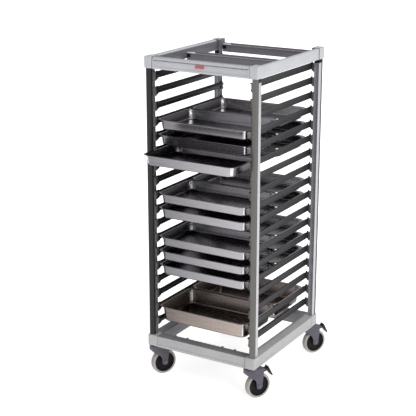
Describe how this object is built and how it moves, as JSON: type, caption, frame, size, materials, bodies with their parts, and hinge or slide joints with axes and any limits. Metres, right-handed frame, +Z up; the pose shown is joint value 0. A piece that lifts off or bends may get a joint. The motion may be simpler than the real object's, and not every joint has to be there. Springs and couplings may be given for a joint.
{
  "type": "sheet pan rack",
  "caption": "Tall mobile rack with moulded top and base frames, posts, slide rails on both sides, gastronorm pans, and swivel casters with brakes.",
  "frame": {"origin": "middle of the footprint's box, at floor level", "axes": "+Z up, -Y towards the front of the rack where the front pans pull out, +X to the right seen from the front"},
  "size_m": [0.6822, 0.9202, 1.711],
  "materials": {
    "frame_plastic": "light grey moulded plastic with a fine dark speckle, satin",
    "crossbar_plastic": "dark purple-grey moulded plastic, satin",
    "post_plastic": "mid-grey speckled plastic",
    "post_bar_metal": "dark olive-grey anodised extrusion, semi-gloss",
    "slide_plastic": "charcoal plastic, fine texture",
    "pan_steel": "pressed stainless steel, satin",
    "caster_plastic": "dark purple-grey nylon",
    "hub_plastic": "black nylon",
    "pedal_plastic": "black nylon",
    "tyre_rubber": "warm light grey non-marking rubber",
    "zinc": "zinc-plated steel",
    "badge_red": "plain red badge with no lettering"
  },
  "bodies": {
    "rack": {"badge": "badge_red", "base_rail_front": "frame_plastic", "base_rail_left": "frame_plastic", "base_rail_rear": "frame_plastic", "base_rail_right": "frame_plastic", "caster_plate_front_left": "zinc", "caster_plate_front_right": "zinc", "caster_plate_rear_left": "zinc", "caster_plate_rear_right": "zinc", "post_bar_front_left": "post_bar_metal", "post_bar_front_right": "post_bar_metal", "post_bar_rear_left": "post_bar_metal", "post_bar_rear_right": "post_bar_metal", "post_front_left": "post_plastic", "post_front_right": "post_plastic", "post_rear_left": "post_plastic", "post_rear_right": "post_plastic", "slide_bank_left": "slide_plastic", "slide_bank_right": "slide_plastic", "top_crossbar_middle": "crossbar_plastic", "top_crossbar_rear": "crossbar_plastic", "top_rail_front": "frame_plastic", "top_rail_left": "frame_plastic", "top_rail_right": "frame_plastic"},
    "pan_front_04": {"pan_front_04": "pan_steel"},
    "pan_rear_04": {"pan_rear_04": "pan_steel"},
    "pan_front_05": {"pan_front_05": "pan_steel"},
    "pan_rear_05": {"pan_rear_05": "pan_steel"},
    "pan_front_06": {"pan_front_06": "pan_steel"},
    "pan_rear_06": {"pan_rear_06": "pan_steel"},
    "pan_front_09": {"pan_front_09": "pan_steel"},
    "pan_rear_09": {"pan_rear_09": "pan_steel"},
    "pan_front_10": {"pan_front_10": "pan_steel"},
    "pan_rear_10": {"pan_rear_10": "pan_steel"},
    "pan_front_12": {"pan_front_12": "pan_steel"},
    "pan_rear_12": {"pan_rear_12": "pan_steel"},
    "pan_front_13": {"pan_front_13": "pan_steel"},
    "pan_rear_13": {"pan_rear_13": "pan_steel"},
    "pan_front_14": {"pan_front_14": "pan_steel"},
    "pan_rear_14": {"pan_rear_14": "pan_steel"},
    "pan_front_17": {"pan_front_17": "pan_steel"},
    "pan_rear_17": {"pan_rear_17": "pan_steel"},
    "swivel_front_left": {"caster_fork_front_left": "caster_plastic", "caster_axle_front_left": "zinc"},
    "wheel_front_left": {"caster_hub_front_left": "hub_plastic", "caster_tyre_front_left": "tyre_rubber"},
    "swivel_front_right": {"caster_fork_front_right": "caster_plastic", "caster_axle_front_right": "zinc"},
    "wheel_front_right": {"caster_hub_front_right": "hub_plastic", "caster_tyre_front_right": "tyre_rubber"},
    "pedal_front_right": {"brake_pedal_front_right": "pedal_plastic"},
    "swivel_rear_left": {"caster_fork_rear_left": "caster_plastic", "caster_axle_rear_left": "zinc"},
    "wheel_rear_left": {"caster_hub_rear_left": "hub_plastic", "caster_tyre_rear_left": "tyre_rubber"},
    "swivel_rear_right": {"caster_fork_rear_right": "caster_plastic", "caster_axle_rear_right": "zinc"},
    "wheel_rear_right": {"caster_hub_rear_right": "hub_plastic", "caster_tyre_rear_right": "tyre_rubber"},
    "pedal_rear_right": {"brake_pedal_rear_right": "pedal_plastic"}
  },
  "joints": [
    {"name": "pan_front_04_slide", "type": "slide", "parent": "rack", "child": "pan_front_04", "axis": [0, -1, 0], "range_m": [0, 0.28]},
    {"name": "pan_rear_04_slide", "type": "slide", "parent": "rack", "child": "pan_rear_04", "axis": [0, 1, 0], "range_m": [0, 0.33]},
    {"name": "pan_front_05_slide", "type": "slide", "parent": "rack", "child": "pan_front_05", "axis": [0, -1, 0], "range_m": [0, 0.28]},
    {"name": "pan_rear_05_slide", "type": "slide", "parent": "rack", "child": "pan_rear_05", "axis": [0, 1, 0], "range_m": [0, 0.33]},
    {"name": "pan_front_06_slide", "type": "slide", "parent": "rack", "child": "pan_front_06", "axis": [0, -1, 0], "range_m": [-0.13, 0.1]},
    {"name": "pan_rear_06_slide", "type": "slide", "parent": "rack", "child": "pan_rear_06", "axis": [0, 1, 0], "range_m": [0, 0.33]},
    {"name": "pan_front_09_slide", "type": "slide", "parent": "rack", "child": "pan_front_09", "axis": [0, -1, 0], "range_m": [0, 0.28]},
    {"name": "pan_rear_09_slide", "type": "slide", "parent": "rack", "child": "pan_rear_09", "axis": [0, 1, 0], "range_m": [0, 0.33]},
    {"name": "pan_front_10_slide", "type": "slide", "parent": "rack", "child": "pan_front_10", "axis": [0, -1, 0], "range_m": [0, 0.28]},
    {"name": "pan_rear_10_slide", "type": "slide", "parent": "rack", "child": "pan_rear_10", "axis": [0, 1, 0], "range_m": [0, 0.33]},
    {"name": "pan_front_12_slide", "type": "slide", "parent": "rack", "child": "pan_front_12", "axis": [0, -1, 0], "range_m": [0, 0.28]},
    {"name": "pan_rear_12_slide", "type": "slide", "parent": "rack", "child": "pan_rear_12", "axis": [0, 1, 0], "range_m": [0, 0.33]},
    {"name": "pan_front_13_slide", "type": "slide", "parent": "rack", "child": "pan_front_13", "axis": [0, -1, 0], "range_m": [0, 0.28]},
    {"name": "pan_rear_13_slide", "type": "slide", "parent": "rack", "child": "pan_rear_13", "axis": [0, 1, 0], "range_m": [0, 0.33]},
    {"name": "pan_front_14_slide", "type": "slide", "parent": "rack", "child": "pan_front_14", "axis": [0, -1, 0], "range_m": [0, 0.28]},
    {"name": "pan_rear_14_slide", "type": "slide", "parent": "rack", "child": "pan_rear_14", "axis": [0, 1, 0], "range_m": [0, 0.33]},
    {"name": "pan_front_17_slide", "type": "slide", "parent": "rack", "child": "pan_front_17", "axis": [0, -1, 0], "range_m": [0, 0.28]},
    {"name": "pan_rear_17_slide", "type": "slide", "parent": "rack", "child": "pan_rear_17", "axis": [0, 1, 0], "range_m": [0, 0.33]},
    {"name": "caster_front_left_swivel", "type": "hinge", "parent": "rack", "child": "swivel_front_left", "pos_m": [-0.30374, -0.30407, 0.162], "axis": [0, 0, 1], "continuous": true},
    {"name": "wheel_front_left_spin", "type": "hinge", "parent": "swivel_front_left", "child": "wheel_front_left", "pos_m": [-0.28524, -0.27203, 0.0675], "axis": [0.866, -0.5, 0], "continuous": true},
    {"name": "caster_front_right_swivel", "type": "hinge", "parent": "rack", "child": "swivel_front_right", "pos_m": [0.26826, -0.30407, 0.162], "axis": [0, 0, 1], "continuous": true},
    {"name": "wheel_front_right_spin", "type": "hinge", "parent": "swivel_front_right", "child": "wheel_front_right", "pos_m": [0.28676, -0.27203, 0.0675], "axis": [0.866, -0.5, 0], "continuous": true},
    {"name": "brake_front_right_press", "type": "hinge", "parent": "swivel_front_right", "child": "pedal_front_right", "pos_m": [0.30296, -0.24397, 0.1484], "axis": [0.866, -0.5, 0], "range_deg": [-12, 0]},
    {"name": "caster_rear_left_swivel", "type": "hinge", "parent": "rack", "child": "swivel_rear_left", "pos_m": [-0.30374, 0.34793, 0.162], "axis": [0, 0, 1], "continuous": true},
    {"name": "wheel_rear_left_spin", "type": "hinge", "parent": "swivel_rear_left", "child": "wheel_rear_left", "pos_m": [-0.28524, 0.37998, 0.0675], "axis": [0.866, -0.5, 0], "continuous": true},
    {"name": "caster_rear_right_swivel", "type": "hinge", "parent": "rack", "child": "swivel_rear_right", "pos_m": [0.26826, 0.34793, 0.162], "axis": [0, 0, 1], "continuous": true},
    {"name": "wheel_rear_right_spin", "type": "hinge", "parent": "swivel_rear_right", "child": "wheel_rear_right", "pos_m": [0.28676, 0.37998, 0.0675], "axis": [0.866, -0.5, 0], "continuous": true},
    {"name": "brake_rear_right_press", "type": "hinge", "parent": "swivel_rear_right", "child": "pedal_rear_right", "pos_m": [0.30296, 0.40803, 0.1484], "axis": [0.866, -0.5, 0], "range_deg": [-12, 0]}
  ]
}
